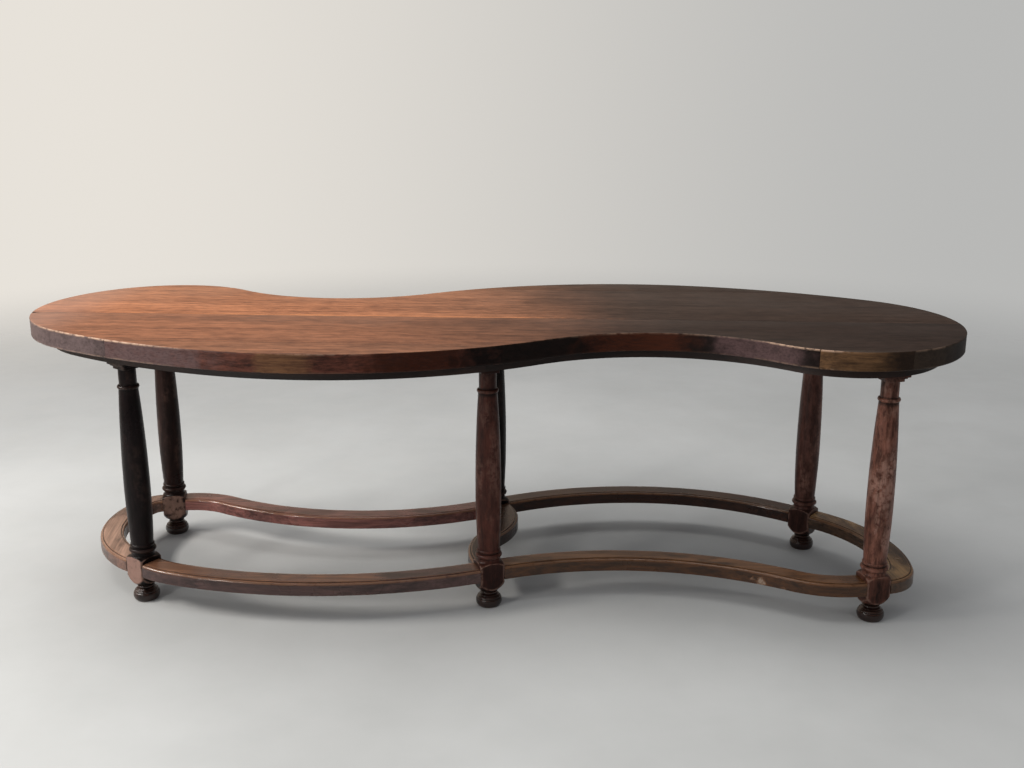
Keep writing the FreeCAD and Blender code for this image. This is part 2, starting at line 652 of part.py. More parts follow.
screws, screw_holes = make_screws()
pieces = make_boards(screw_holes) + make_frieze() + make_bearers(screw_holes) + [screws]
for leg in LEGS:
    pieces += [make_leg(leg), make_cap(leg), make_foot(leg)]
pieces += [
    make_stretcher("front_left", "front_left", "front_middle"),
    make_stretcher("front_right", "front_middle", "front_right"),
    make_stretcher("right_end", "front_right", "back_right"),
    make_stretcher("back_right", "back_right", "back_middle"),
    make_stretcher("back_left", "back_middle", "back_left"),
    make_stretcher("left_end", "back_left", "front_left"),
    make_stretcher("cross", "front_middle", "back_middle", 90),
]

doc.recompute()
failed = [item.Label for item in doc.Objects if {"Invalid", "Error"} & set(item.State)]
if failed:
    raise RuntimeError("these objects failed: " + ", ".join(failed))
for piece in pieces:
    if piece.Shape.isNull() or not piece.Shape.isValid() or not piece.Shape.Solids:
        raise RuntimeError(piece.Label + " has no valid solid")
for piece in pieces:
    piece.Shape.exportStep(f"parts/{piece.Label}.step")
    print(piece.Label, len(piece.Shape.Solids), "solids", round(piece.Shape.Volume), "mm3")
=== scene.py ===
"""Looks of the serpentine centre table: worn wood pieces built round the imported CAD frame.

Metres in the CAD frame: the floor is at z = 0, X runs along the boards and the viewer stands at -Y.
Sizes that repeat the CAD are in millimetres and become metres where points are made.
"""
import math

import bmesh
import bpy
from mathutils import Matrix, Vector, noise


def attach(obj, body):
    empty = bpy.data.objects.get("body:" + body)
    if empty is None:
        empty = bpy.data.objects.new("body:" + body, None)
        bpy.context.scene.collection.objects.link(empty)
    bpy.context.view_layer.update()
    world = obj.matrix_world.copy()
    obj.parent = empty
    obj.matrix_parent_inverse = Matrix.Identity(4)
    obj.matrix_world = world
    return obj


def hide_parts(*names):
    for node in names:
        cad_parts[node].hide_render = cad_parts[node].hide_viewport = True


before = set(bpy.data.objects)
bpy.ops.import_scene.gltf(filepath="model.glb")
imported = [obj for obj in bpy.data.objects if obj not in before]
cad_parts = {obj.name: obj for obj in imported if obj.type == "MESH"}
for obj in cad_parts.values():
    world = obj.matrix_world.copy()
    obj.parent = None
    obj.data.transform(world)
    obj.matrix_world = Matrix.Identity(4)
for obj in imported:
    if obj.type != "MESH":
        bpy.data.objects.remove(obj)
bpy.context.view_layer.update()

MM = 0.001
SHARP_ANGLE = math.radians(38)

# Shared helpers


def drift(seed, *place):
    """Smooth noise from -1 to 1 that differs from seed to seed."""
    along, across, up = (list(place) + [0, 0, 0])[:3]
    return noise.noise(Vector((along + 17.3 * seed, across - 9.1 * seed, up + 4.7 * seed)))


def ease(low, high, number):
    """0 at low and before it, 1 at high and after it, and a smooth change between."""
    share = min(max((number - low) / (high - low), 0), 1)
    return share * share * (3 - 2 * share)


def direction(heading):
    """The plan direction of a heading in degrees."""
    return Vector((math.cos(math.radians(heading)), math.sin(math.radians(heading))))


def left_of(along):
    """The plan direction a quarter turn to the left of another."""
    return Vector((-along.y, along.x))


def arc(start, end, radius, side, steps):
    """Points after start on the arc to end that bulges to the right of its direction at side 1."""
    chord_x = end[0] - start[0]
    chord_y = end[1] - start[1]
    chord = math.hypot(chord_x, chord_y)
    depth = math.sqrt(max(radius ** 2 - chord ** 2 / 4, 0))
    centre_x = (start[0] + end[0]) / 2 - chord_y / chord * depth * side
    centre_y = (start[1] + end[1]) / 2 + chord_x / chord * depth * side
    first = math.atan2(start[1] - centre_y, start[0] - centre_x)
    turn = 2 * math.asin(min(chord / (2 * radius), 1)) * side
    return [(centre_x + radius * math.cos(first + turn * step / steps),
             centre_y + radius * math.sin(first + turn * step / steps)) for step in range(1, steps + 1)]


def line(start, end, steps):
    """Points after start on the straight line to end."""
    return [(start[0] + (end[0] - start[0]) * step / steps, start[1] + (end[1] - start[1]) * step / steps)
            for step in range(1, steps + 1)]


def skin(name, rings, wear, replaced):
    """A closed piece through rings of points in millimetres, with a wear value for each point.

    Wear is -1 in grime, 0 where the finish is sound, 1 where it is rubbed and more where wood lies bare.
    """
    count = len(rings[0])
    points = [Vector(point) * MM for ring in rings for point in ring]
    faces = []
    for low in range(0, (len(rings) - 1) * count, count):
        for side in range(count):
            after = (side + 1) % count
            faces.append((low + side, low + after, low + count + after, low + count + side))
    faces.append(tuple(reversed(range(count))))
    faces.append(tuple(range((len(rings) - 1) * count, len(rings) * count)))
    mesh = bpy.data.meshes.new(name)
    mesh.from_pydata(points, [], faces)
    shaped = bmesh.new()
    shaped.from_mesh(mesh)
    bmesh.ops.recalc_face_normals(shaped, faces=shaped.faces)
    shaped.to_mesh(mesh)
    shaped.free()
    mesh.shade_smooth()
    for end in (-1, -2):
        mesh.polygons[end].use_smooth = False
    mesh.set_sharp_from_angle(angle=SHARP_ANGLE)
    attribute = mesh.attributes.new("wear", "FLOAT", "POINT")
    attribute.data.foreach_set("value", [amount for ring in wear for amount in ring])
    piece = bpy.data.objects.new(name, mesh)
    bpy.context.scene.collection.objects.link(piece)
    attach(piece, "root")
    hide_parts(*replaced)
    return piece


# The top

# plan of the top: half of it as (radius, turn) arcs, the other half being the same again
HALF_PLAN = [(390, 60), (1530, 19.5), (1055, 50), (-475, -77.5), (310, 85), (380, 43)]
PLAN_HEADING = 87
PLAN_STEP = 5
TABLE_HEIGHT = 800
SLAB_BOTTOM = 749
MIDDLE_SEAM = -50
OUTER_SEAM = 384
BAY_MIDDLE = 560
# limits of each board to the left, right, front and back, None where it runs out to the rim
BOARDS = {
    "top_board_front_left": (None, BAY_MIDDLE, None, -OUTER_SEAM),
    "top_board_front_right": (BAY_MIDDLE, None, None, -OUTER_SEAM),
    "top_board_middle_front": (None, None, -OUTER_SEAM, MIDDLE_SEAM),
    "top_board_middle_back": (None, None, MIDDLE_SEAM, OUTER_SEAM),
    "top_board_back_left": (None, -BAY_MIDDLE, OUTER_SEAM, None),
    "top_board_back_right": (-BAY_MIDDLE, None, OUTER_SEAM, None),
}
# seams: how far their arrises are eased, half of the gap in them, by which the rim is drawn in too, and
# the spacing of points along them
SEAM_EASE = 0.6
SEAM_GAP = 0.12
SEAM_STEP = 6
# the split at the left end of the middle seam
SPLIT_START = -1280
SPLIT_RISE = 40
SPLIT_WIDTH = 20
# the rim: usual width of its arris, what a bruise adds, and the shares of that width which each point of
# the rounding lies in from the edge and below the face
ARRIS_WIDTH = 2.2
BRUISE_WIDTH = 2.2
ARRIS_ROUND = [(0, 1.0), (0.28, 0.45), (0.6, 0.15), (1.0, 0.0)]
# shares of the thickness at which the edge has points, and how far hand work leaves it uneven
EDGE_LEVELS = (0.12, 0.3, 0.5, 0.7, 0.88)
EDGE_WAVE = 0.25


def plan_points(spacing):
    """Points round the plan of the top, about spacing apart."""
    points = []
    x = y = 0.0
    heading = math.radians(PLAN_HEADING)
    for radius, turn in HALF_PLAN + HALF_PLAN:
        sweep = math.radians(turn)
        centre_x = x - math.sin(heading) * radius
        centre_y = y + math.cos(heading) * radius
        steps = max(round(abs(radius * sweep) / spacing), 2)
        for step in range(steps):
            bearing = heading + sweep * step / steps
            points.append((centre_x + math.sin(bearing) * radius, centre_y - math.cos(bearing) * radius))
        heading += sweep
        x = centre_x + math.sin(heading) * radius
        y = centre_y - math.cos(heading) * radius
    middle_x = (min(p[0] for p in points) + max(p[0] for p in points)) / 2
    middle_y = (min(p[1] for p in points) + max(p[1] for p in points)) / 2
    return [(px - middle_x, py - middle_y) for px, py in points]


def clipped(points, axis, limit, keep_below):
    """The part of a closed outline on one side of a line across one axis."""
    kept = []
    sign = 1 if keep_below else -1
    for here, there in zip(points, points[1:] + points[:1]):
        here_in = sign * (here[axis] - limit) <= 0
        there_in = sign * (there[axis] - limit) <= 0
        if here_in:
            kept.append(here)
        if here_in != there_in:
            share = (limit - here[axis]) / (there[axis] - here[axis])
            kept.append((here[0] + (there[0] - here[0]) * share, here[1] + (there[1] - here[1]) * share))
    return kept


def divided(points, spacing):
    """The outline with its long straight runs cut into steps of about spacing."""
    result = []
    for here, there in zip(points, points[1:] + points[:1]):
        result.append(here)
        steps = max(round(math.dist(here, there) / spacing), 1)
        result += line(here, there, steps)[:-1]
    return result


def arris_width(x, y):
    """How far the rim of the top is rubbed round at a place, with a few small bruises."""
    bruise = ease(0.5, 0.7, drift(3, x / 30, y / 30))
    return ARRIS_WIDTH + 0.7 * drift(1, x / 90, y / 90) + BRUISE_WIDTH * bruise


def split_width(x):
    """How far the middle seam has opened, which is only at its left end."""
    opened = ease(0, SPLIT_RISE, SPLIT_START - x)
    return opened * (SPLIT_WIDTH + 10 * drift(8, x / 9))


def make_board(name, limits):
    """One board of the top: its outer arris is rubbed round, its seams are tight and barely eased."""
    left, right, near, far = limits
    seams = [(axis, limit, below) for axis, limit, below in
             ((0, left, False), (0, right, True), (1, near, False), (1, far, True)) if limit is not None]

    def opening(x):
        """How far the split draws the far seam of this board back."""
        return split_width(x) if far == MIDDLE_SEAM else 0

    outline = [(x, y + opening(x)) for x, y in plan_points(PLAN_STEP)]
    for axis, limit, below in seams:
        outline = clipped(outline, axis, limit, below)
    outline = divided(outline, SEAM_STEP)
    count = len(outline)
    # the long seams that each point lies on, and the points where such a seam meets the rim
    cuts = [limit for axis, limit, below in seams if axis == 1]
    held = [[limit for limit in cuts if abs(y - limit) < 1e-6] for x, y in outline]
    corner = [bool(held[n]) and not (held[n - 1] and held[(n + 1) % count]) for n in range(count)]
    outline = [(x, y - opening(x)) for x, y in outline]
    tangents = []
    for n in range(count):
        before = n if corner[n] and held[n - 1] else n - 1
        after = n if corner[n] and held[(n + 1) % count] else (n + 1) % count
        tangents.append((Vector(outline[after]) - Vector(outline[before])).normalized())

    def moved(n, amount):
        """A point of the outline drawn in, kept on the seam where the rim meets it."""
        along = tangents[n]
        inside = Vector(outline[n]) + left_of(along) * amount
        for axis, limit, below in seams:
            border = limit - opening(inside.x)
            on_this = corner[n] and held[n] == [limit]
            crossed = axis == 1 and not held[n] and (inside.y > border) == below
            if on_this or crossed:
                inside += along * ((border - inside.y) / along.y)
        return inside

    rims = [SEAM_EASE if held[n] and not corner[n] else arris_width(*outline[n]) for n in range(count)]
    rings = []
    wear = []

    def add_ring(drawn_in, heights, rubbed, walls=False):
        """A ring inside the outline, rubbed along the rim. Of the seams only the middle one holds grime."""
        inside = [moved(n, drawn_in[n]) for n in range(count)]
        rings.append([(point.x, point.y, height) for point, height in zip(inside, heights)])
        grime = -1 if walls or rubbed else 0
        wear.append([grime * (held[n] == [MIDDLE_SEAM]) if held[n] else rubbed for n in range(count)])

    for share, drop in reversed(ARRIS_ROUND):
        add_ring([SEAM_GAP + rim * share for rim in rims], [SLAB_BOTTOM + rim * drop for rim in rims],
                 0.3 if drop else 0)
    for level in EDGE_LEVELS:
        waves = [EDGE_WAVE * drift(5, *(Vector(point) / 60), level * 3) for point in outline]
        add_ring([SEAM_GAP + EDGE_WAVE + wave for wave in waves],
                 [SLAB_BOTTOM + (TABLE_HEIGHT - SLAB_BOTTOM) * level] * count, 0, walls=True)
    for share, drop in ARRIS_ROUND:
        add_ring([SEAM_GAP + rim * share for rim in rims], [TABLE_HEIGHT - rim * drop for rim in rims],
                 1 if drop else 0)
    return skin(name + "_worn", rings, wear, [name])


boards = {name: make_board(name, limits) for name, limits in BOARDS.items()}

# Legs, feet and caps

# legs: plan point and heading of the block
LEG_SHIFT = 17
LEGS = {
    "front_left": (-984 + LEG_SHIFT, -247.5, -32),
    "front_middle": (10 + LEG_SHIFT, -226, 24.5),
    "front_right": (1080 + LEG_SHIFT, -247.5, 16),
    "back_right": (978 + LEG_SHIFT, 247.5, 144.5),
    "back_middle": (-10 + LEG_SHIFT, 273, 210.5),
    "back_left": (-1067 + LEG_SHIFT, 247.5, 193),
}
FOOT_TOP = 52
BLOCK_SIDE = 72
BLOCK_TOP = 136
CAP_BOTTOM = 688
CAP_TOP = 718
# corners up a turning: radius, height, radius of the arc that leads there and steps along it; the arc's
# radius is below zero for a hollow and 0 for a straight run
LEG_CORNERS = {
    "middle of seat": (2, FOOT_TOP, 0, 1),
    "inner seat": (14, FOOT_TOP, 0, 1),
    "rim of seat": (31, FOOT_TOP, 0, 1),
    "lower shoulder": (54, 94, 70, 24),
    "side of block": (54, 116, 0, 8),
    "upper shoulder": (35, BLOCK_TOP, 24, 16),
    "flare": (32, 149, -13, 10),
    "torus": (32, 162, 6.52, 16),
    "step over torus": (31, 162.6, 0, 1),
    "fillet under ring": (31, 165, 0, 2),
    "ring": (31, 174, 4.88, 14),
    "fillet over ring": (31, 177, 0, 3),
    "swelling shaft": (36, 342, 2725, 26),
    "tapering shaft": (26.3, 631, 4310, 44),
    "astragal": (24.2, 642, 5.65, 14),
    "neck": (24.2, CAP_BOTTOM, 0, 14),
}
FOOT_CORNERS = {
    "middle of sole": (2, 0, 0, 1),
    "inner sole": (15, 0, 0, 1),
    "rim of sole": (31, 0, 0, 1),
    "lower bun": (37, 15, 21.8, 14),
    "upper bun": (21, 38, 24.5, 30),
    "ring": (21, 45, 3.53, 12),
    "step over ring": (19, 45.5, 0, 1),
    "hollow neck": (24, FOOT_TOP, -14, 6),
}
# grooves scribed round the shoulder of the bun
GROOVE_HEIGHTS = (26, 33)
GROOVE_DEPTH = 1.6
GROOVE_REACH = 1.8
# cap: half side, bottom and top of each step, and how far its lower and upper edges are eased
CAP_STEPS = [(26.5, CAP_BOTTOM, 697), (32, 697, 702), (38, 702, CAP_TOP)]
CAP_LOW_EASE = 1
CAP_HIGH_EASE = 0.6
# steps round a turning and along a side of a square, and the share of its diagonal that a square keeps
ROUND_STEPS = 72
FACE_STEPS = 18
CORNER_SHARE = 0.976
CORNER_ANGLE = math.acos(1 / (math.sqrt(2) * CORNER_SHARE))
# how far a moulding stands out where it is fully rubbed, the share of wear that caps have, and how far
# hand work leaves a piece uneven
# a fully rubbed moulding's pale colour is partly a painted highlight
RIDGE_HEIGHT = 1.6
CAP_RUBBING = 0.25
TURNING_WAVE = 0.25
# blocks with a face that is scuffed pale: its bearing from the block's heading, and how far
SCUFFED = {"front_left": (270, 1.4), "back_left": (90, 1.07)}
# cosines of the angles from the middle of that face at which the scuff has ended and is full
SCUFF_BORDER = (0.68, 0.76)


def profile_through(corners):
    """Points of a turning's profile, as (radius, height), through its corners."""
    rows = list(corners.values())
    points = [rows[0][:2]]
    for before, (radius, height, bulge, steps) in zip(rows, rows[1:]):
        start = before[:2]
        end = (radius, height)
        if bulge:
            points += arc(start, end, abs(bulge), math.copysign(1, bulge), steps)
        else:
            points += line(start, end, steps)
    return points


def grooved(profile):
    """The profile with the scribed grooves cut in."""
    cut = []
    for radius, height in profile:
        away = min(abs(height - groove) for groove in GROOVE_HEIGHTS)
        cut.append((radius - GROOVE_DEPTH * ease(GROOVE_REACH, 0, away), height))
    return cut


def softened(profile):
    """Round the creases of a profile by averaging each radius with its neighbours."""
    radii, heights = zip(*profile)
    middle = [(a + 2 * b + c) / 4 for a, b, c in zip(radii, radii[1:], radii[2:])]
    return list(zip([radii[0], *middle, radii[-1]], heights))


def cap_sides():
    """Half side and height up the stepped cap, its edges a little eased."""
    corner = CAP_LOW_EASE * 0.3
    sides = [(2, CAP_BOTTOM), (14, CAP_BOTTOM)]
    for half_side, bottom, top in CAP_STEPS:
        sides += [(half_side - CAP_LOW_EASE, bottom), (half_side - corner, bottom + corner)]
        sides += [(half_side, bottom + CAP_LOW_EASE)]
        sides += line((half_side, bottom + CAP_LOW_EASE), (half_side, top - CAP_HIGH_EASE), 4)
        sides += [(half_side - CAP_HIGH_EASE, top)]
    return sides + [(14, CAP_TOP), (2, CAP_TOP)]


def bearings(round_piece):
    """Directions round a piece: evenly spread, or gathered so that a square's corners are blunt."""
    if round_piece:
        return [math.tau * step / ROUND_STEPS for step in range(ROUND_STEPS)]
    found = []
    for face in range(4):
        for step in range(FACE_STEPS + 1):
            found.append(math.tau * face / 4 + CORNER_ANGLE * (2 * step / FACE_STEPS - 1))
    return found


def ridge(profile, number):
    """How far a point of a profile stands out from the points beside it."""
    before = profile[max(number - 2, 0)][0]
    after = profile[min(number + 2, len(profile) - 1)][0]
    return profile[number][0] - (before + after) / 2


def squared(radius, height, half_side, bearing, seed, scuff):
    """Reach and wear of a turned square at one point.

    It is rubbed on its corners and beside the line where the turning meets its sides, and bared by scuff.
    """
    corner_reach = half_side * math.sqrt(2) * CORNER_SHARE
    edge = min(half_side / max(abs(math.cos(bearing)), abs(math.sin(bearing))), corner_reach)
    cornerness = ease(0.9, 1.0, edge / corner_reach)
    edge -= cornerness * (1.1 + drift(seed, height / 12, bearing))
    if edge >= radius:
        return radius, ease(4, 1, edge - radius) - 0.4 * ease(4, 9, edge - radius)
    bared = scuff * (1 + 0.15 * drift(seed + 9, bearing * 4, height / 22))
    return edge, max(0.9 * cornerness, 0.9 * ease(4, 1, radius - edge), bared)


def around(leg, part, profile, half_sides, seed, rubbing):
    """A piece round a leg's axis: turned to its profile, and held to a square where half_sides gives one."""
    x, y, heading = LEGS[leg]
    face, scuffed = SCUFFED.get(leg, (0, 0))
    angles = bearings(all(side is None for side in half_sides))
    rings = []
    wear = []
    for number, ((radius, height), half_side) in enumerate(zip(profile, half_sides)):
        ring = []
        amounts = []
        for bearing in angles:
            if half_side is None:
                reach = radius
                # a standing moulding counts as rubbed, which the leg wood paints pale, partly as a painted
                # highlight
                amount = max(min(ridge(profile, number) / RIDGE_HEIGHT, 1), -1)
            else:
                scuff = scuffed * ease(*SCUFF_BORDER, math.cos(bearing - math.radians(face)))
                reach, amount = squared(radius, height, half_side, bearing, seed, scuff)
            place = bearing + math.radians(heading)
            uneven = drift(seed, math.cos(bearing) * 1.4, math.sin(bearing) * 1.4, height / 55)
            reach += TURNING_WAVE * uneven
            ring.append((x + reach * math.cos(place), y + reach * math.sin(place), height))
            amounts.append(amount * rubbing)
        rings.append(ring)
        wear.append(amounts)
    return skin(f"{leg}_{part}_worn", rings, wear, [f"{leg}_{part}"])


LEG_PROFILE = softened(profile_through(LEG_CORNERS))
LEG_HALVES = [BLOCK_SIDE / 2 if height <= BLOCK_TOP else None for radius, height in LEG_PROFILE]
FOOT_PROFILE = softened(grooved(profile_through(FOOT_CORNERS)))
FOOT_HALVES = [None] * len(FOOT_PROFILE)
CAP_HALVES = [half_side for half_side, height in cap_sides()]
# wide enough that the square alone shapes the cap
CAP_PROFILE = [(half_side * 2, height) for half_side, height in cap_sides()]
turned_pieces = {}
for seed, leg in enumerate(LEGS):
    turned_pieces[leg] = [
        around(leg, "leg", LEG_PROFILE, LEG_HALVES, seed, 1),
        around(leg, "foot", FOOT_PROFILE, FOOT_HALVES, seed + 7, 1),
        around(leg, "cap", CAP_PROFILE, CAP_HALVES, seed + 13, CAP_RUBBING),
    ]

# Stretchers

RAIL_TOP = 122
RAIL_HEIGHT = 38
RAIL_WIDTH = 70
RAIL_STEP = 3
# moulding along the upper edge: its round, the step over that and the quirk cut beside it
EDGE_ROUND = 7
EDGE_STEP = 1.5
QUIRK_DEPTH = 1.2
# heights of the points up a plain side
SIDE_LEVELS = (4, 7, 10, 13, 17, 21)
# first and last leg, tangent length at the first block to that at the last, and how far the ends are
# turned from the headings of the blocks
RAILS = {
    "front_left_stretcher": ("front_left", "front_middle", 0.1, 0),
    "front_right_stretcher": ("front_middle", "front_right", 4.7, 0),
    "right_end_stretcher": ("front_right", "back_right", 0.22, 0),
    "back_right_stretcher": ("back_right", "back_middle", 0.8, 0),
    "back_left_stretcher": ("back_middle", "back_left", 6, 0),
    "left_end_stretcher": ("back_left", "front_left", 0.1, 0),
    "cross_stretcher": ("front_middle", "back_middle", 1, 90),
}
# chips: stretcher, place in plan, height above its underside, reach and depth
CHIPS = [
    ("front_right_stretcher", 792, -236, 9, 17, 1.2),
    ("front_right_stretcher", 770, -228, 15, 9, 0.9),
    ("front_right_stretcher", 850, -262, 2, 9, 0.8),
    ("left_end_stretcher", -1050, -262, 30, 16, 1.8),
]
# wear added where a chip is a millimetre deep or more
CHIP_WEAR = 1.6


def rail_path(first_leg, last_leg, share, quarter, spacing):
    """Points and directions along the two tangent arcs between two blocks."""
    start_along = direction(LEGS[first_leg][2] + quarter)
    end_along = direction(LEGS[last_leg][2] - quarter)
    start = Vector(LEGS[first_leg][:2]) + start_along * BLOCK_SIDE / 2
    end = Vector(LEGS[last_leg][:2]) - end_along * BLOCK_SIDE / 2
    # the tangent length at the last block solves a quadratic
    gap = end - start
    square = 2 * share * (start_along.dot(end_along) - 1)
    linear = -2 * gap.dot(start_along * share + end_along)
    constant = gap.dot(gap)
    last = (-linear - math.sqrt(linear ** 2 - 4 * square * constant)) / (2 * square)
    near = start + start_along * share * last
    far = end - end_along * last
    joint = near + (far - near) * (share / (1 + share))
    path = [(start, start_along)]
    for here, along, there in ((start, start_along, joint), (joint, (far - near).normalized(), end)):
        chord = there - here
        turn = 2 * math.atan2(along.x * chord.y - along.y * chord.x, along.dot(chord))
        radius = chord.dot(chord) / (2 * chord.dot(left_of(along)))
        centre = here + left_of(along) * radius
        steps = max(round(abs(radius * turn) / spacing), 4)
        for step in range(1, steps + 1):
            angle = math.atan2(along.y, along.x) + turn * step / steps
            heading = Vector((math.cos(angle), math.sin(angle)))
            path.append((centre - left_of(heading) * radius, heading))
    return path


def rail_section(seed, number):
    """Half of a stretcher's section from the middle of its underside to the middle of its top.

    Each point is (across, up, wear). A small step and a round run along the top edge, uneven by hand and use
    from one numbered section to the next.
    """
    half = RAIL_WIDTH / 2 + 0.35 * drift(seed + 4, number / 23)
    top = RAIL_HEIGHT + 0.25 * drift(seed + 6, number / 20)
    bruise = 0.8 * ease(0.4, 0.65, drift(seed + 2, number / 6))
    edge = EDGE_ROUND + 0.3 * drift(seed, number / 15) + bruise
    step_down = EDGE_STEP - 0.5 * bruise
    # underside with its rubbed arris, and the plain side
    section = [(0, 0, 0), (half - 6, 0, 0), (half - 1.2, 0, 0.4), (half - 0.3, 0.4, 0.7), (half, 1.4, 0.4)]
    section += [(half, up, 0) for up in (*SIDE_LEVELS, top - edge - 5, top - edge - 2)]
    # the round
    for step in range(7):
        angle = math.pi / 2 * step / 6
        across = half - edge * (1 - math.cos(angle))
        rub = 0.25 + 0.75 * math.sin(math.pi * step / 6)
        section.append((across, top - step_down - edge * (1 - math.sin(angle)), rub))
    # the quirk full of grime, the arris inside it and the top
    quirk = half - edge
    bottom = top - step_down - QUIRK_DEPTH
    section += [(quirk - 0.5, bottom, -1), (quirk - 2.0, bottom, -1), (quirk - 2.4, top - 0.4, 0.7),
                (quirk - 3.2, top, 0.9), (quirk - 7, top, 0.2), (half * 0.35, top, 0), (0, top, 0)]
    return section


def dent(name, point, up):
    """How deep the chips go in at a place on a stretcher's side."""
    depth = 0
    for rail, x, y, height, reach, deepest in CHIPS:
        if rail == name:
            away = math.hypot(point[0] - x, point[1] - y, (up - height) * 1.2) / reach
            away += 0.45 * drift(41, point[0] / 7, up / 5)
            depth = max(depth, deepest * ease(1, 0.6, away))
    return depth


def make_rail(name, first_leg, last_leg, share, quarter, seed):
    """A stretcher with a rubbed moulded edge, chipped where it has been knocked."""
    rings = []
    wear = []
    for number, (point, along) in enumerate(rail_path(first_leg, last_leg, share, quarter, RAIL_STEP)):
        half = rail_section(seed, number)
        loop = half + [(-across, up, rub) for across, up, rub in reversed(half[1:-1])]
        sideways = left_of(along) * -1
        ring = []
        amounts = []
        for across, up, rub in loop:
            spot = point + sideways * across
            depth = dent(name, spot, up) if across else 0
            spot -= sideways * math.copysign(min(depth, abs(across)), across)
            ring.append((spot.x, spot.y, RAIL_TOP - RAIL_HEIGHT + up))
            amounts.append(rub + CHIP_WEAR * min(depth, 1))
        rings.append(ring)
        wear.append(amounts)
    return skin(name + "_worn", rings, wear, [name])


rails = {name: make_rail(name, *values, seed + 20) for seed, (name, values) in enumerate(RAILS.items())}

# Materials


class Nodes:
    """The node tree of a material or world, with short ways to add and join nodes."""

    def __init__(self, owner):
        owner.use_nodes = True
        self.tree = owner.node_tree
        self.tree.nodes.clear()

    def add(self, kind, inputs=None, **settings):
        """A new node with its settings, and with values or links for its inputs."""
        node = self.tree.nodes.new(kind)
        for key, setting in settings.items():
            setattr(node, key, setting)
        for socket, value in (inputs or {}).items():
            self.put(node.inputs[socket], value)
        return node

    def put(self, socket, value):
        """Link an output to a socket, or set the socket to a number, vector or colour."""
        if isinstance(value, bpy.types.NodeSocket):
            self.tree.links.new(value, socket)
        elif isinstance(value, tuple) and len(value) == 3 and socket.type == "RGBA":
            socket.default_value = (*value, 1)
        else:
            socket.default_value = value

    def split(self, vector, axis):
        """One part of a vector."""
        return self.add("ShaderNodeSeparateXYZ", {0: vector}).outputs[axis]

    def rise(self, value, low, high, to_low=0.0, to_high=1.0):
        """A smooth change from to_low, where a value is at low, to to_high, where it is at high."""
        inputs = {"Value": value, "From Min": low, "From Max": high, "To Min": to_low, "To Max": to_high}
        return self.add("ShaderNodeMapRange", inputs, interpolation_type="SMOOTHSTEP").outputs[0]

    def math(self, operation, first, second=0.0):
        """One step of arithmetic on one or two values."""
        return self.add("ShaderNodeMath", {0: first, 1: second}, operation=operation).outputs[0]

    def times(self, *values):
        """The product of some values."""
        product = values[0]
        for value in values[1:]:
            product = self.math("MULTIPLY", product, value)
        return product

    def weighted(self, first, *others):
        """The sum of (value, weight) pairs."""
        total = self.times(*first)
        for pair in others:
            total = self.math("ADD", total, self.times(*pair))
        return total

    def mix(self, share, first, second, blend="MIX"):
        """Two colours mixed, with the given share of the second."""
        inputs = {0: share, 6: first, 7: second}
        return self.add("ShaderNodeMix", inputs, data_type="RGBA", blend_type=blend).outputs[2]

    def either(self, share, first, second):
        """Two shaders mixed, with the given share of the second."""
        return self.add("ShaderNodeMixShader", {0: share, 1: first, 2: second}).outputs[0]


class MaterialNodes(Nodes):
    """The node tree of a new material, whose patterns lie in the CAD frame."""

    def __init__(self, name):
        self.material = bpy.data.materials.new(name)
        super().__init__(self.material)
        self.coords = self.add("ShaderNodeTexCoord").outputs["Object"]
        self.normal_z = self.split(self.add("ShaderNodeNewGeometry").outputs["Normal"], "Z")

    def mapped(self, vector, place=(0, 0, 0), turn=(0, 0, 0), scale=(1, 1, 1)):
        """Coordinates scaled, turned and moved."""
        inputs = {"Vector": vector, "Location": place, "Rotation": turn, "Scale": scale}
        return self.add("ShaderNodeMapping", inputs).outputs[0]

    def noise(self, vector, scale, detail=4.0, rough=0.55, warp=0.0):
        """Noise about 0.5."""
        inputs = {"Vector": vector, "Scale": scale, "Detail": detail, "Roughness": rough, "Distortion": warp}
        return self.add("ShaderNodeTexNoise", inputs).outputs["Fac"]

    def wear(self):
        """The wear value that the meshes carry."""
        return self.add("ShaderNodeAttribute", attribute_name="wear").outputs["Fac"]

    def near(self, axis, place, reach):
        """1 at a place along an axis, fading to 0 at reach from it, with a ragged border."""
        ragged = self.math("MULTIPLY", self.math("SUBTRACT", self.noise(self.coords, 30, 4), 0.5), reach)
        away = self.math("ABSOLUTE", self.math("SUBTRACT", self.split(self.coords, axis), place))
        return self.rise(self.math("ADD", away, ragged), reach, reach * 0.35)

    def surface(self, colour, roughness, height, specular=0.3, bump=0.25, metallic=0.0):
        """A surface with fine relief."""
        relief = self.add("ShaderNodeBump", {"Height": height, "Strength": bump, "Distance": MM}).outputs[0]
        inputs = {"Base Color": colour, "Roughness": roughness, "Normal": relief,
                  "Specular IOR Level": specular, "Metallic": metallic}
        return self.add("ShaderNodeBsdfPrincipled", inputs).outputs[0]

    def finish(self, shader):
        """The material, showing a shader."""
        self.add("ShaderNodeOutputMaterial", {0: shader})
        return self.material


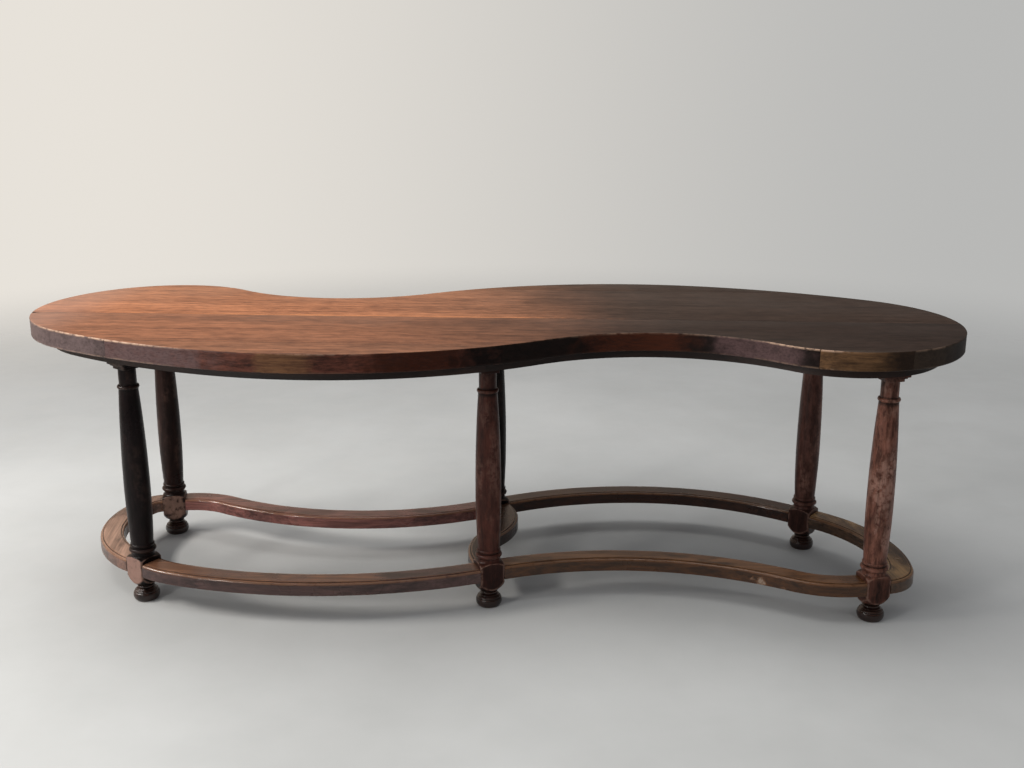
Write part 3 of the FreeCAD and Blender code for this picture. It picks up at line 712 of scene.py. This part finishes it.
class Grain:
    """Patterns of wood whose fibres run along one axis of a turned space."""

    def __init__(self, nodes, seed, turn, axis):
        self.nodes = nodes
        self.axis = axis
        place = (seed * 1.7, seed * -2.3, seed * 0.9)
        self.space = nodes.mapped(nodes.coords, place=place, turn=(0, 0, turn))
        # scale along and across the fibres, detail, roughness, warp, and the noise taken as 0 and as 1
        self.bands = self.lines(0.9, 13, 5, 0.6, 0.6, 0.33, 0.67)
        self.streaks = self.lines(3.5, 75, 5, 0.7, 0.3, 0.38, 0.64)
        self.fibre = self.lines(7, 260, 4, 0.65, 0, 0.4, 0.68)
        self.flecks = self.lines(20, 62, 5, 0.7, 0.25, 0.36, 0.64)
        self.pores = self.lines(26, 720, 2, 0.5, 0, 0.55, 0.68)
        self.stains = self.lines(6, 17, 5, 0.62, 0, 0.48, 0.64)
        self.clouds = nodes.noise(self.space, 3.4, 4, 0.6)
        self.specks = nodes.noise(self.space, 60, 4, 0.65)

    def lines(self, along, across, detail, rough, warp, low, high):
        """Noise scaled along and across the fibres, 0 where it is below low and 1 above high."""
        scale = tuple(along if number == self.axis else across for number in range(3))
        pattern = self.nodes.noise(self.nodes.mapped(self.space, scale=scale), 1, detail, rough, warp)
        return self.nodes.rise(pattern, low, high)

    def height(self):
        """Relief of fibres and open pores."""
        return self.nodes.weighted((self.fibre, 0.5), (self.pores, -0.6))

    def roughness(self, smoothest, roughest):
        """Polish that changes in clouds."""
        return self.nodes.rise(self.clouds, 0.3, 0.7, smoothest, roughest)


# colours that several woods share: dark lines of the grain, and grime
DARK_FIBRE = (0.010, 0.005, 0.004)
GRIME = (0.004, 0.0025, 0.002)

# face of the top: dark and light wood of its left and right, and where one turns into the other
# the warm left holds painted light and sheen and the dark right painted shade, over the wood's own tone
LIT_LEFT_WOOD = ((0.112, 0.042, 0.020), (0.430, 0.182, 0.086))
SHADED_RIGHT_WOOD = ((0.013, 0.0082, 0.0060), (0.054, 0.035, 0.026))
FACE_FIBRE = (0.030, 0.012, 0.006)
LIT_TO_SHADED = (-0.36, 0.56)
# places on the top as middle and reach: the painted highlight beside the middle seam, and the rim where
# hands go
SEAM_HIGHLIGHT_ALONG = (-0.42, 0.8)
SEAM_HIGHLIGHT_ACROSS = (MIDDLE_SEAM * MM + 0.005, 0.016)
SEAM_HIGHLIGHT_COLOUR = (0.52, 0.20, 0.075)
HANDLED = [(-0.98, 0.32), (0.84, 0.14)]
RIM_RUBBED = (0.40, 0.26, 0.18)
SEAM_GRIME = (0.008, 0.004, 0.003)
# where the left tip starts to bleach, and where it is palest
BLEACHED = (-1.06, -1.28)
BLEACHED_COLOUR = (0.26, 0.175, 0.145)


def top_wood(name, seed, tone, edge_dark, edge_light, spots):
    """Waxed boards: orange-brown with painted light to the left, dark grey-brown with painted shade to the
    right, and a dark weathered edge.

    spots holds (x, reach, colour) for places where the edge has another colour; the near-black ones in the
    bay are partly painted shade.
    """
    nodes = MaterialNodes(name)
    grain = Grain(nodes, seed, 0, 0)
    x = nodes.split(nodes.coords, "X")
    y = nodes.split(nodes.coords, "Y")
    figure = nodes.weighted((grain.bands, 0.30), (grain.streaks, 0.32), (grain.flecks, 0.38))

    # the face, with the painted highlight beside the middle seam and its bleached tip
    shifted = nodes.math("ADD", x, nodes.times(nodes.math("SUBTRACT", grain.clouds, 0.5), 0.5))
    # from left to right the face goes from painted light to painted shade
    lit_to_shaded_share = nodes.rise(nodes.math("ADD", shifted, nodes.times(y, 0.2)), *LIT_TO_SHADED)
    wood = nodes.mix(lit_to_shaded_share, nodes.mix(figure, *LIT_LEFT_WOOD), nodes.mix(figure, *SHADED_RIGHT_WOOD))
    face = nodes.mix(1.0, wood, tone, "MULTIPLY")
    face = nodes.mix(nodes.times(grain.fibre, 0.28), face, FACE_FIBRE)
    # a thin painted highlight beside the middle seam
    seam_highlight = nodes.times(nodes.near("Y", *SEAM_HIGHLIGHT_ACROSS), nodes.near("X", *SEAM_HIGHLIGHT_ALONG))
    face = nodes.mix(nodes.times(seam_highlight, grain.streaks, 0.7), face, SEAM_HIGHLIGHT_COLOUR)
    face = nodes.mix(nodes.rise(x, *BLEACHED, 0.0, 0.35), face, BLEACHED_COLOUR)

    # the edge, with its spots
    edge = nodes.mix(figure, edge_dark, edge_light)
    for place, reach, colour in spots:
        shown = nodes.times(nodes.near("X", place, reach), nodes.rise(figure, 0.0, 0.6, 0.55, 1.0))
        edge = nodes.mix(shown, edge, colour)
    edge = nodes.mix(nodes.times(grain.fibre, 0.4), edge, DARK_FIBRE)

    # both together, rubbed along the rim and dirty in the seam
    colour = nodes.mix(nodes.rise(nodes.normal_z, 0.4, 0.8), edge, face)
    handled = nodes.rise(grain.clouds, 0.46, 0.68, 0.03, 0.3)
    for place, reach in HANDLED:
        handled = nodes.math("MAXIMUM", handled, nodes.near("X", place, reach))
    wear = nodes.wear()
    rubbed = nodes.times(wear, nodes.rise(grain.specks, 0.34, 0.56), handled)
    colour = nodes.mix(rubbed, colour, RIM_RUBBED)
    colour = nodes.mix(nodes.rise(wear, -0.3, -0.9), colour, SEAM_GRIME)
    return nodes.finish(nodes.surface(colour, grain.roughness(0.38, 0.52), grain.height(), specular=0.14))


# heights on a leg: where mottling starts on the shaft, and where block and cap turn darker
MOTTLED_FROM = (0.16, 0.24)
BLOCK_DARK = (0.145, 0.125)
CAP_DARK = (0.66, 0.70)
DARKER = (0.42, 0.38, 0.36)
MOTTLE_COLOUR = (0.30, 0.165, 0.125)
LEG_RUBBED_AND_HIGHLIGHT = (0.220, 0.130, 0.098)
LEG_BARED = (0.215, 0.125, 0.098)


def leg_wood(name, seed, dark, light, mottle, smoothest, roughest, specular):
    """Dark polished turnings with upright grain, rubbed pale on rings, corners and in patches, the pale on
    rings partly a painted highlight.
    """
    nodes = MaterialNodes(name)
    grain = Grain(nodes, seed, 0, 2)
    z = nodes.split(nodes.coords, "Z")
    figure = nodes.weighted((grain.bands, 0.5), (grain.flecks, 0.5))
    colour = nodes.mix(figure, dark, light)
    blotches = nodes.times(grain.stains, nodes.rise(grain.specks, 0.36, 0.56), nodes.rise(z, *MOTTLED_FROM))
    colour = nodes.mix(nodes.times(blotches, mottle), colour, MOTTLE_COLOUR)
    colour = nodes.mix(nodes.times(grain.fibre, 0.35), colour, DARK_FIBRE)
    ends = nodes.math("MAXIMUM", nodes.rise(z, *BLOCK_DARK), nodes.rise(z, *CAP_DARK))
    colour = nodes.mix(ends, colour, nodes.mix(1.0, colour, DARKER, "MULTIPLY"))
    wear = nodes.wear()
    # mouldings and corners rubbed pale; on the rings this pale is partly a painted highlight
    rubbed = nodes.times(nodes.rise(wear, 0.05, 0.9), nodes.rise(grain.specks, 0.34, 0.56))
    colour = nodes.mix(nodes.times(rubbed, 0.55), colour, LEG_RUBBED_AND_HIGHLIGHT)
    bared = nodes.times(nodes.rise(wear, 1.0, 1.4), nodes.rise(grain.specks, 0.25, 0.5, 0.6, 0.95))
    colour = nodes.mix(bared, colour, LEG_BARED)
    colour = nodes.mix(nodes.times(nodes.rise(wear, -0.05, -0.7), 0.85), colour, GRIME)
    roughness = grain.roughness(smoothest, roughest)
    return nodes.finish(nodes.surface(colour, roughness, grain.height(), specular))


RAIL_FIBRE = (0.012, 0.006, 0.004)
RAIL_RUBBED = (0.22, 0.115, 0.066)
RAIL_BARED = (0.30, 0.22, 0.16)


def rail_wood(name, seed, turn, worn, amount, side_dark, side_light):
    """Stretcher wood: dark sides, a top rubbed through to paler wood and bare wood in the chips."""
    nodes = MaterialNodes(name)
    grain = Grain(nodes, seed, turn, 0)
    figure = nodes.weighted((grain.bands, 0.5), (grain.streaks, 0.5))
    side = nodes.mix(figure, side_dark, side_light)
    flat = nodes.mix(nodes.rise(grain.clouds, 0.36, 0.60), side_light, worn)
    flat = nodes.mix(nodes.times(grain.streaks, 0.5), flat, side_dark)
    flat = nodes.mix(nodes.times(grain.stains, 0.8), flat, side_dark)
    on_top = nodes.rise(nodes.normal_z, 0.75, 0.95)
    colour = nodes.mix(nodes.times(on_top, amount), side, flat)
    colour = nodes.mix(nodes.times(grain.fibre, 0.4), colour, RAIL_FIBRE)
    wear = nodes.wear()
    rubbed = nodes.times(nodes.rise(wear, 0.2, 0.9), nodes.rise(grain.specks, 0.26, 0.5, 0.3, 1.0))
    colour = nodes.mix(nodes.times(rubbed, 0.5), colour, RAIL_RUBBED)
    colour = nodes.mix(nodes.times(nodes.rise(wear, -0.1, -0.8), 0.9), colour, GRIME)
    bare = nodes.times(nodes.rise(wear, 1.1, 1.6), nodes.rise(grain.specks, 0.40, 0.56))
    colour = nodes.mix(nodes.times(bare, 0.8), colour, RAIL_BARED)
    # rubbed edges are also smoother
    smoother = nodes.rise(wear, 0.1, 0.6, 0.0, 0.13)
    roughness = nodes.math("SUBTRACT", grain.roughness(0.24, 0.34), smoother)
    return nodes.finish(nodes.surface(colour, roughness, grain.height(), specular=0.45, bump=0.12))


def frame_wood(name, seed, turn):
    """Dull dark wood of the frieze and bearers."""
    nodes = MaterialNodes(name)
    grain = Grain(nodes, seed, turn, 0)
    colour = nodes.mix(grain.bands, (0.008, 0.004, 0.003), (0.026, 0.011, 0.007))
    colour = nodes.mix(nodes.times(grain.fibre, 0.4), colour, (0.006, 0.003, 0.002))
    return nodes.finish(nodes.surface(colour, grain.roughness(0.40, 0.58), grain.height()))


def screw_steel(name):
    """Dull steel with brown bloom."""
    nodes = MaterialNodes(name)
    patches = nodes.noise(nodes.coords, 140, 3)
    scratches = nodes.noise(nodes.mapped(nodes.coords, scale=(900, 60, 60)), 1, 2)
    colour = nodes.mix(nodes.rise(patches, 0.42, 0.62), (0.30, 0.28, 0.26), (0.16, 0.09, 0.05))
    roughness = nodes.rise(patches, 0.35, 0.65, 0.32, 0.6)
    return nodes.finish(nodes.surface(colour, roughness, scratches, specular=0.5, metallic=0.85))


def dress(piece, material):
    """Give a piece one material."""
    piece.data.materials.clear()
    piece.data.materials.append(material)


# tone of the face, dark and light wood of the edge, and places where the edge has another colour
# the near-black edge colours in the bay, of the middle front board and the spot of the front left board at x
# 0.06, are partly painted shade
BOARD_LOOKS = {
    "top_board_front_left": ((0.68, 0.66, 0.69), (0.018, 0.005, 0.003), (0.160, 0.050, 0.030),
                             [(-0.46, 0.10, (0.130, 0.060, 0.026)), (-0.88, 0.30, (0.090, 0.054, 0.052)),
                              (-0.12, 0.20, (0.034, 0.007, 0.002)), (0.06, 0.12, (0.004, 0.001, 0.0006))]),
    "top_board_front_right": ((0.95, 0.98, 1.0), (0.030, 0.015, 0.007), (0.160, 0.082, 0.036),
                              [(1.11, 0.09, (0.022, 0.012, 0.007))]),
    "top_board_middle_front": ((0.74, 0.69, 0.70), (0.002, 0.0008, 0.0005), (0.010, 0.0035, 0.002),
                               [(0.43, 0.20, (0.052, 0.012, 0.0040)), (0.74, 0.14, (0.080, 0.045, 0.044)),
                                (-1.15, 0.32, (0.100, 0.070, 0.068)), (1.16, 0.10, (0.040, 0.026, 0.017))]),
    "top_board_middle_back": ((1.10, 1.02, 0.98), (0.012, 0.006, 0.004), (0.048, 0.024, 0.016),
                              [(-1.32, 0.06, (0.210, 0.135, 0.100))]),
    "top_board_back_left": ((0.95, 0.90, 0.90), (0.014, 0.006, 0.005), (0.060, 0.025, 0.015), []),
    "top_board_back_right": ((1.0, 0.98, 0.96), (0.012, 0.005, 0.004), (0.046, 0.020, 0.012), []),
}
# dark and light wood of each leg, and how far it is mottled
LEG_LOOKS = {
    "front_left": ((0.0015, 0.0007, 0.0008), (0.009, 0.0040, 0.0044), 0.06),
    "front_middle": ((0.010, 0.0028, 0.002), (0.080, 0.025, 0.017), 0.25),
    "front_right": ((0.036, 0.013, 0.008), (0.290, 0.120, 0.083), 0.95),
    "back_right": ((0.028, 0.010, 0.007), (0.135, 0.056, 0.042), 0.4),
    "back_middle": ((0.001, 0.0005, 0.0005), (0.006, 0.0025, 0.002), 0.05),
    "back_left": ((0.004, 0.0014, 0.0011), (0.020, 0.008, 0.006), 0.12),
}
# dark and light wood of the feet, which aren't mottled
FOOT_LOOK = ((0.010, 0.004, 0.003), (0.075, 0.032, 0.022), 0)
# smoothest and roughest polish of legs and feet, and their specular level
LEG_POLISH = (0.26, 0.38, 0.14)
FOOT_POLISH = (0.14, 0.24, 0.5)
# worn colour of the top of each stretcher and how far it shows, dark and light wood of its sides
RAIL_LOOKS = {
    "front_left_stretcher": ((0.240, 0.106, 0.054), 0.9, (0.012, 0.006, 0.0055), (0.086, 0.043, 0.038)),
    "front_right_stretcher": ((0.260, 0.118, 0.050), 0.9, (0.018, 0.007, 0.002), (0.100, 0.037, 0.011)),
    "right_end_stretcher": ((0.540, 0.310, 0.125), 0.95, (0.018, 0.009, 0.004), (0.100, 0.050, 0.024)),
    "back_right_stretcher": ((0.078, 0.028, 0.010), 0.6, (0.010, 0.003, 0.0015), (0.044, 0.014, 0.006)),
    "back_left_stretcher": ((0.130, 0.066, 0.050), 0.9, (0.045, 0.016, 0.014), (0.260, 0.100, 0.082)),
    "left_end_stretcher": ((0.480, 0.285, 0.200), 0.95, (0.020, 0.009, 0.006), (0.210, 0.105, 0.072)),
    "cross_stretcher": ((0.130, 0.062, 0.032), 0.7, (0.010, 0.005, 0.003), (0.048, 0.022, 0.013)),
}

for seed, (name, look) in enumerate(BOARD_LOOKS.items()):
    dress(boards[name], top_wood(name + "_wood", seed, *look))
for seed, (leg, look) in enumerate(LEG_LOOKS.items()):
    polished = leg_wood(leg + "_wood", seed + 11, *look, *LEG_POLISH)
    glossy = leg_wood(leg + "_foot_wood", seed + 47, *FOOT_LOOK, *FOOT_POLISH)
    for piece in turned_pieces[leg]:
        dress(piece, glossy if "_foot" in piece.name else polished)
for seed, (name, look) in enumerate(RAIL_LOOKS.items()):
    first, last = (Vector(LEGS[leg][:2]) for leg in RAILS[name][:2])
    chord = last - first
    dress(rails[name], rail_wood(name + "_wood", seed + 31, -math.atan2(chord.y, chord.x), *look))
for seed, name in enumerate(sorted(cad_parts)):
    if name.startswith("frieze"):
        dress(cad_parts[name], frame_wood(name + "_wood", seed, 0))
    elif name.endswith("bearer"):
        dress(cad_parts[name], frame_wood(name + "_wood", seed, math.pi / 2))
dress(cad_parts["top_screws"], screw_steel("screw_steel"))

# Floor, light and camera

FLOOR_SIZE = 60
# distance from the middle at which the floor starts to fade, and at which it has gone
FLOOR_FADE = (2.2, 6.0)
# backdrop as the camera and as gloss see it: to the left, to the right and on the viewer's side
BACKDROP_SEEN = ((0.80, 0.76, 0.70), (0.48, 0.48, 0.47), (0.60, 0.60, 0.58))
BACKDROP_IN_GLOSS = ((0.62, 0.50, 0.40), (0.19, 0.17, 0.155), (0.05, 0.04, 0.035))
SOFT_LIGHT = (0.93, 0.95, 1.0)
SOFT_STRENGTH = 0.48
# lamps: place, point that they face, width, height, power and colour
LAMPS = {
    "window": ((-3.2, -0.8, 2.0), (-0.6, 0, 0.4), 1.4, 0.35, 88, (1.0, 0.96, 0.92)),
    "low_side": ((-2.4, -2.6, 1.3), (0.2, 0, 0.2), 0.4, 0.4, 28, (1.0, 0.97, 0.94)),
    "ceiling": ((-0.5, 0.2, 4.2), (0, 0, 0.4), 4.4, 4.4, 135, (1.0, 0.99, 0.97)),
}
# camera: place, degrees that it looks down and is turned to the left, lens and sensor in millimetres
CAMERA_PLACE = (0.2822, -3.2359, 1.4718)
CAMERA_DOWN = 15.171
CAMERA_LEFT = 3.591
CAMERA_LENS = 40.40
CAMERA_SENSOR = 36


def make_floor():
    """A pale floor that gives way to the backdrop far from the table and when seen from below."""
    bpy.ops.mesh.primitive_plane_add(size=FLOOR_SIZE, location=(0, 0, 0))
    floor = bpy.context.object
    floor.name = "floor"
    nodes = MaterialNodes("floor_plaster")
    patches = nodes.noise(nodes.coords, 0.9, 5, 0.6)
    specks = nodes.noise(nodes.coords, 9, 4, 0.6)
    colour = nodes.mix(nodes.rise(patches, 0.3, 0.7), (0.40, 0.405, 0.395), (0.46, 0.465, 0.455))
    plaster = nodes.surface(colour, nodes.rise(specks, 0.3, 0.7, 0.55, 0.7), specks)
    away = nodes.add("ShaderNodeVectorMath", {0: nodes.coords}, operation="LENGTH").outputs["Value"]
    below = nodes.add("ShaderNodeNewGeometry").outputs["Backfacing"]
    hidden = nodes.math("MAXIMUM", nodes.rise(away, *FLOOR_FADE), below)
    clear = nodes.add("ShaderNodeBsdfTransparent").outputs[0]
    dress(floor, nodes.finish(nodes.either(hidden, plaster, clear)))


def make_world():
    """Soft light from all round, and a pale backdrop, brighter to the left, that camera and gloss see."""
    world = bpy.data.worlds.new("studio")
    bpy.context.scene.world = world
    nodes = Nodes(world)
    outward = nodes.add("ShaderNodeTexCoord").outputs["Generated"]
    to_right = nodes.rise(nodes.split(outward, "X"), -0.45, 0.35)
    to_front = nodes.rise(nodes.split(outward, "Y"), 0.1, -0.5)
    ray = nodes.add("ShaderNodeLightPath").outputs

    def background(colour, strength=1.0):
        """Light that comes from far away."""
        return nodes.add("ShaderNodeBackground", {"Color": colour, "Strength": strength}).outputs[0]

    def graded(left, right, front):
        """Light that goes from left to right, and over to another colour on the viewer's side."""
        return background(nodes.mix(to_front, nodes.mix(to_right, left, right), front))

    soft = background(SOFT_LIGHT, SOFT_STRENGTH)
    unseen = nodes.either(ray["Is Glossy Ray"], soft, graded(*BACKDROP_IN_GLOSS))
    shown = nodes.either(ray["Is Camera Ray"], unseen, graded(*BACKDROP_SEEN))
    nodes.add("ShaderNodeOutputWorld", {0: shown})


def make_lamp(name, place, target, width, height, power, colour):
    """A soft lamp that faces a point."""
    lamp = bpy.data.lights.new(name, "AREA")
    lamp.shape = "ELLIPSE"
    lamp.size = width
    lamp.size_y = height
    lamp.energy = power
    lamp.color = colour
    holder = bpy.data.objects.new(name, lamp)
    bpy.context.scene.collection.objects.link(holder)
    holder.location = place
    holder.rotation_euler = (Vector(target) - Vector(place)).to_track_quat("-Z", "Y").to_euler()


def make_camera():
    """The camera, where the photo was taken from."""
    camera = bpy.data.cameras.new("camera")
    camera.sensor_width = CAMERA_SENSOR
    camera.lens = CAMERA_LENS
    holder = bpy.data.objects.new("camera", camera)
    bpy.context.scene.collection.objects.link(holder)
    holder.location = CAMERA_PLACE
    holder.rotation_euler = (math.radians(90 - CAMERA_DOWN), 0, math.radians(CAMERA_LEFT))
    bpy.context.scene.camera = holder


make_floor()
make_world()
for name, values in LAMPS.items():
    make_lamp(name, *values)
make_camera()
bpy.context.scene.view_settings.view_transform = "Standard"
